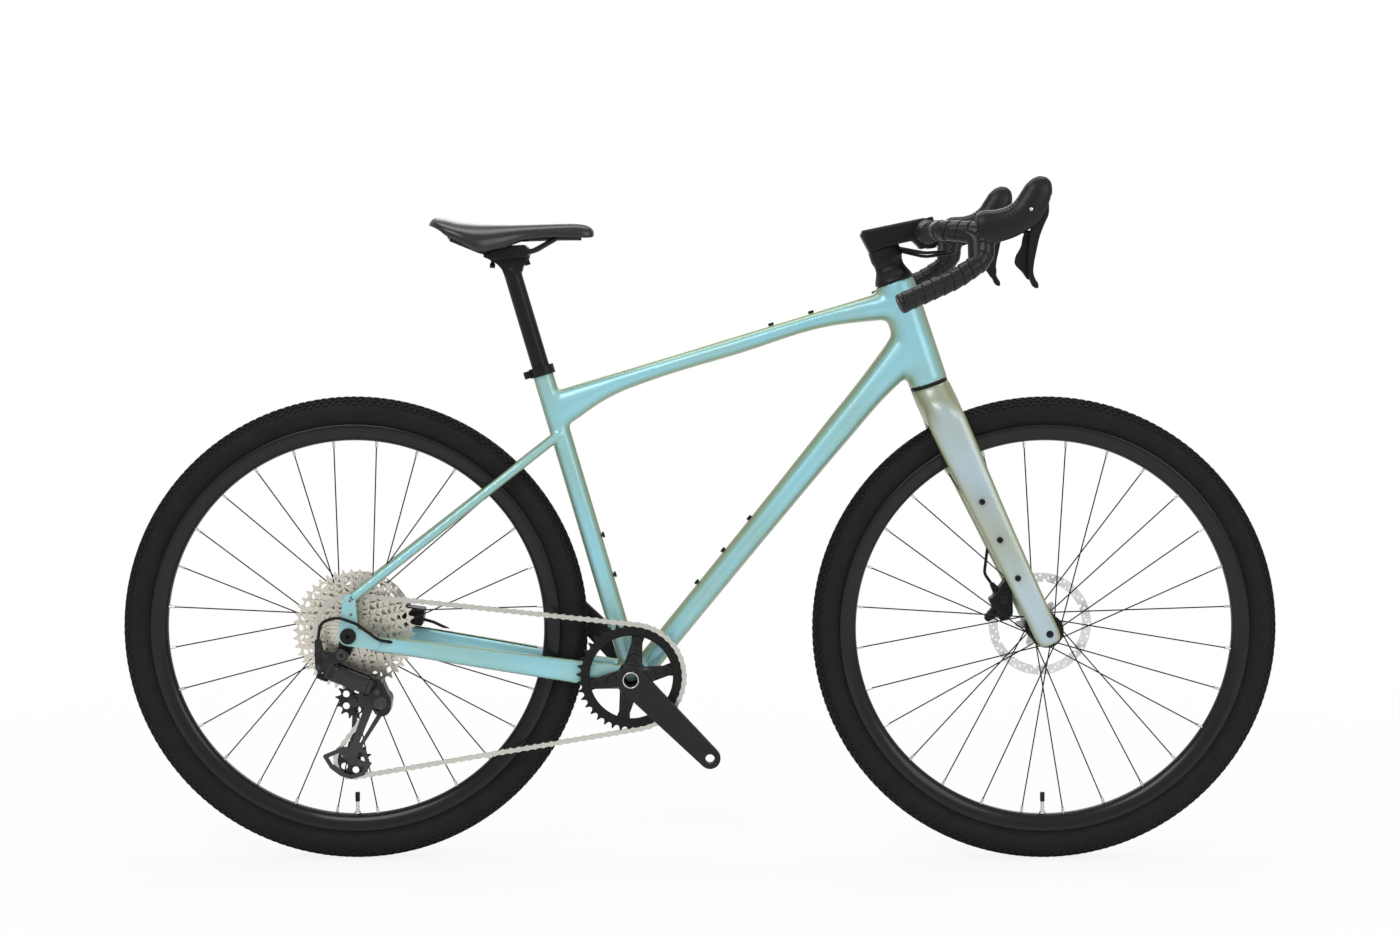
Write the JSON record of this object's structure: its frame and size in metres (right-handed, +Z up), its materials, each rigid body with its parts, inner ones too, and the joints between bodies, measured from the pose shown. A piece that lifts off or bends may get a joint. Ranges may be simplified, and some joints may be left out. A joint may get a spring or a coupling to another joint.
{
  "type": "gravel bicycle",
  "caption": "Drop-bar gravel bicycle with disc brakes, single chainring, wide-range cassette and knobbly tyres; steers, rolls, pedals, shifts and brakes.",
  "frame": {"origin": "on the ground midway between the axles, in the middle plane", "axes": "+X forward, +Y to the rider's left, +Z up"},
  "size_m": [1.7779, 0.5022, 1.0457],
  "materials": {
    "paint": "gloss",
    "fork_paint": "gloss",
    "tyre_rubber": "matte",
    "black_alloy": "satin",
    "black_plastic": "satin",
    "hood_rubber": "matte",
    "saddle_cover": "matte",
    "steel": "satin",
    "valve_metal": "satin"
  },
  "bodies": {
    "frame": {"head_tube": "paint", "top_tube": "paint", "down_tube": "paint", "seat_tube": "paint", "bottom_bracket_shell": "paint", "bottom_bracket_cups": "black_alloy", "chainstays": "paint", "seatstays": "paint", "rear_dropouts": "paint", "headset_bearings": "steel", "frame_bolts": "steel", "seat_collar": "black_alloy", "rear_caliper": "black_alloy", "rear_cables": "hood_rubber", "rear_axle_and_hanger": "black_alloy", "derailleur_bracket": "black_plastic", "chain": "steel"},
    "seat": {"seatpost": "black_alloy", "saddle_clamp": "black_alloy", "saddle_rails": "steel", "saddle_shell": "black_plastic", "saddle_pad": "saddle_cover"},
    "steering": {"fork_crown": "fork_paint", "fork_legs": "fork_paint", "headset_cover": "black_plastic", "stem": "black_alloy", "stem_faceplate": "black_alloy", "handlebar": "black_alloy", "bar_tape": "hood_rubber", "lever_hoods": "hood_rubber", "control_hoses": "hood_rubber", "front_caliper": "black_alloy", "front_axle": "black_alloy"},
    "right_lever": {"brake_lever_right": "black_alloy"},
    "left_lever": {"brake_lever_left": "black_alloy"},
    "right_paddle": {"shift_paddle_right": "black_plastic"},
    "left_paddle": {"shift_paddle_left": "black_plastic"},
    "front_wheel": {"front_tyre": "tyre_rubber", "front_rim": "black_alloy", "front_spokes": "steel", "front_valve": "valve_metal", "front_hub": "black_alloy", "front_rotor": "steel"},
    "rear_wheel": {"rear_tyre": "tyre_rubber", "rear_rim": "black_alloy", "rear_spokes": "steel", "rear_valve": "valve_metal", "rear_hub": "black_alloy", "rear_rotor": "steel"},
    "gear_block": {"cassette": "steel", "freehub_body": "steel"},
    "crank": {"crank_arm_right": "black_alloy", "crank_arm_left": "black_alloy", "chainring": "black_alloy"},
    "outer_link": {"derailleur_outer_link": "black_plastic"},
    "inner_link": {"derailleur_inner_link": "black_plastic"},
    "knuckle": {"derailleur_knuckle": "black_plastic"},
    "cage": {"derailleur_cage": "black_plastic"},
    "guide_wheel": {"guide_pulley": "black_plastic"},
    "tension_wheel": {"tension_pulley": "black_plastic"}
  },
  "joints": [
    {"name": "steering", "type": "hinge", "parent": "frame", "child": "steering", "pos_m": [0.35262, 0, 0.73304], "axis": [-0.3223, 0, 0.9466], "range_deg": [-60, 60]},
    {"name": "front_wheel_spin", "type": "hinge", "parent": "steering", "child": "front_wheel", "pos_m": [0.531, 0, 0.358], "axis": [0, 1, 0], "continuous": true},
    {"name": "rear_wheel_spin", "type": "hinge", "parent": "frame", "child": "rear_wheel", "pos_m": [-0.531, 0, 0.358], "axis": [0, 1, 0], "continuous": true},
    {"name": "crank_spin", "type": "hinge", "parent": "frame", "child": "crank", "pos_m": [-0.10495, 0, 0.289], "axis": [0, 1, 0], "continuous": true, "deforming": ["chain"]},
    {"name": "cassette_spin", "type": "hinge", "parent": "frame", "child": "gear_block", "pos_m": [-0.531, 0, 0.358], "axis": [0, 1, 0], "continuous": true},
    {"name": "guide_pulley_spin", "type": "hinge", "parent": "cage", "child": "guide_wheel", "pos_m": [-0.5289, -0.03995, 0.25274], "axis": [0, 1, 0], "continuous": true},
    {"name": "tension_pulley_spin", "type": "hinge", "parent": "cage", "child": "tension_wheel", "pos_m": [-0.53236, -0.03995, 0.15962], "axis": [0, 1, 0], "continuous": true},
    {"name": "derailleur_shift", "type": "hinge", "parent": "frame", "child": "outer_link", "pos_m": [-0.562, -0.086, 0.306], "axis": [0.3697, 0, 0.9291], "range_deg": [-20, 12]},
    {"name": "inner_link_pivot", "type": "hinge", "parent": "frame", "child": "inner_link", "pos_m": [-0.562, -0.066, 0.306], "axis": [0.3697, 0, 0.9291], "range_deg": [-20, 12]},
    {"name": "knuckle_pivot", "type": "hinge", "parent": "outer_link", "child": "knuckle", "pos_m": [-0.49882, -0.086, 0.28086], "axis": [0.3697, 0, 0.9291], "range_deg": [-12, 20]},
    {"name": "cage_swing", "type": "hinge", "parent": "knuckle", "child": "cage", "pos_m": [-0.483, -0.06, 0.257], "axis": [0, -1, 0], "range_deg": [-45.2, 27.12]},
    {"name": "brake_lever_right_pull", "type": "hinge", "parent": "steering", "child": "right_lever", "pos_m": [0.49439, -0.216, 1.01199], "axis": [0, 1, 0], "range_deg": [0, 20], "stiffness_Nm_per_rad": 1.5},
    {"name": "brake_lever_left_pull", "type": "hinge", "parent": "steering", "child": "left_lever", "pos_m": [0.49439, 0.216, 1.01199], "axis": [0, 1, 0], "range_deg": [0, 20], "stiffness_Nm_per_rad": 1.5},
    {"name": "shift_paddle_right_push", "type": "hinge", "parent": "right_lever", "child": "right_paddle", "pos_m": [0.47339, -0.207, 0.964], "axis": [1, 0, 0], "range_deg": [0, 17], "stiffness_Nm_per_rad": 0.5},
    {"name": "shift_paddle_left_push", "type": "hinge", "parent": "left_lever", "child": "left_paddle", "pos_m": [0.47339, 0.207, 0.964], "axis": [-1, 0, 0], "range_deg": [0, 17], "stiffness_Nm_per_rad": 0.5},
    {"name": "seat_height", "type": "slide", "parent": "frame", "child": "seat", "axis": [-0.284, 0, 0.9588], "range_m": [-0.1, 0.05]}
  ],
  "couplings": [
    {"joint": "cassette_spin", "follows": "crank_spin", "ratio": 1.4286},
    {"joint": "guide_pulley_spin", "follows": "crank_spin", "ratio": -3.0769},
    {"joint": "tension_pulley_spin", "follows": "crank_spin", "ratio": 3.0769},
    {"joint": "inner_link_pivot", "follows": "derailleur_shift", "ratio": 1},
    {"joint": "knuckle_pivot", "follows": "derailleur_shift", "ratio": -1},
    {"joint": "cage_swing", "follows": "derailleur_shift", "ratio": 2.26}
  ]
}
